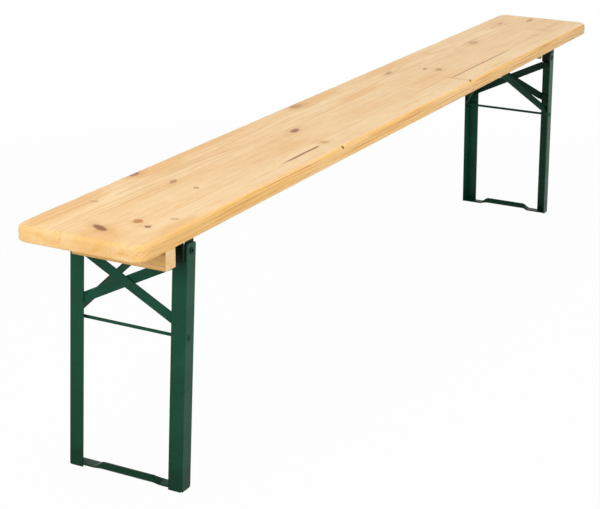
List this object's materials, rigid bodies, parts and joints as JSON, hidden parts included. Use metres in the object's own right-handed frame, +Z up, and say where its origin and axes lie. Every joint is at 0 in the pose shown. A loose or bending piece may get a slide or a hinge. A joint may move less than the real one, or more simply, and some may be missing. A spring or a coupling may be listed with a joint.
{
  "type": "folding bench",
  "caption": "Long wooden bench on angle-steel leg frames that fold flat under the board, each held open by a V strut and a spring catch.",
  "frame": {"origin": "on the floor under the middle of the board", "axes": "+X along the board from the near end to the far end, +Y from the front side to the back, +Z up"},
  "size_m": [2.2, 0.25, 0.48],
  "materials": {
    "board_wood": "clear-lacquered pine, glued from planks",
    "batten_wood": "clear-lacquered pine",
    "green_paint": "semi-gloss moss-green paint on steel",
    "spring_steel": "oil-blackened spring steel",
    "zinc_steel": "zinc-plated"
  },
  "bodies": {
    "seat": {"seat_board": "board_wood", "near_bracket_front": "green_paint", "near_bracket_back": "green_paint", "near_hinge_rivet_front": "green_paint", "near_hinge_rivet_back": "green_paint", "near_guide_rail": "green_paint", "near_batten": "batten_wood", "near_bracket_screw_front_outer": "zinc_steel", "near_bracket_screw_front_inner": "zinc_steel", "near_batten_screw_front": "zinc_steel", "near_bracket_screw_back_outer": "zinc_steel", "near_bracket_screw_back_inner": "zinc_steel", "near_batten_screw_back": "zinc_steel", "near_rail_screw_outer": "zinc_steel", "near_rail_screw_middle": "zinc_steel", "near_rail_screw_inner": "zinc_steel", "far_bracket_front": "green_paint", "far_bracket_back": "green_paint", "far_hinge_rivet_front": "green_paint", "far_hinge_rivet_back": "green_paint", "far_guide_rail": "green_paint", "far_batten": "batten_wood", "far_bracket_screw_front_outer": "zinc_steel", "far_bracket_screw_front_inner": "zinc_steel", "far_batten_screw_front": "zinc_steel", "far_bracket_screw_back_outer": "zinc_steel", "far_bracket_screw_back_inner": "zinc_steel", "far_batten_screw_back": "zinc_steel", "far_rail_screw_outer": "zinc_steel", "far_rail_screw_middle": "zinc_steel", "far_rail_screw_inner": "zinc_steel"},
    "near_leg_frame": {"near_leg_front": "green_paint", "near_leg_back": "green_paint", "near_brace_over": "green_paint", "near_brace_under": "green_paint", "near_foot_bar": "green_paint", "near_cross_rod": "green_paint"},
    "near_strut": {"near_strut_arm_front": "green_paint", "near_strut_arm_back": "green_paint", "near_guide_pin": "zinc_steel"},
    "near_catch": {"near_spring_catch": "spring_steel"},
    "far_leg_frame": {"far_leg_front": "green_paint", "far_leg_back": "green_paint", "far_brace_over": "green_paint", "far_brace_under": "green_paint", "far_foot_bar": "green_paint", "far_cross_rod": "green_paint"},
    "far_strut": {"far_strut_arm_front": "green_paint", "far_strut_arm_back": "green_paint", "far_guide_pin": "zinc_steel"},
    "far_catch": {"far_spring_catch": "spring_steel"}
  },
  "joints": [
    {"name": "near_fold", "type": "hinge", "parent": "seat", "child": "near_leg_frame", "pos_m": [-0.93907, 0, 0.428], "axis": [0, -1, 0], "range_deg": [0, 93.56]},
    {"name": "near_strut_swing", "type": "hinge", "parent": "near_leg_frame", "child": "near_strut", "pos_m": [-0.94859, 0, 0.2749], "axis": [0, -1, 0], "range_deg": [-139.5, 0]},
    {"name": "near_catch_press", "type": "hinge", "parent": "seat", "child": "near_catch", "pos_m": [-0.75043, 0, 0.4499], "axis": [0, 1, 0], "range_deg": [0, 4.2], "stiffness_Nm_per_rad": 0.6},
    {"name": "far_fold", "type": "hinge", "parent": "seat", "child": "far_leg_frame", "pos_m": [0.84406, 0, 0.428], "axis": [0, 1, 0], "range_deg": [0, 93.56]},
    {"name": "far_strut_swing", "type": "hinge", "parent": "far_leg_frame", "child": "far_strut", "pos_m": [0.85359, 0, 0.2749], "axis": [0, 1, 0], "range_deg": [-139.5, 0]},
    {"name": "far_catch_press", "type": "hinge", "parent": "seat", "child": "far_catch", "pos_m": [0.65543, 0, 0.4499], "axis": [0, -1, 0], "range_deg": [0, 4.2], "stiffness_Nm_per_rad": 0.6}
  ],
  "couplings": [
    {"joint": "near_strut_swing", "follows": "near_fold", "ratio": -1.49},
    {"joint": "far_strut_swing", "follows": "far_fold", "ratio": -1.49}
  ]
}
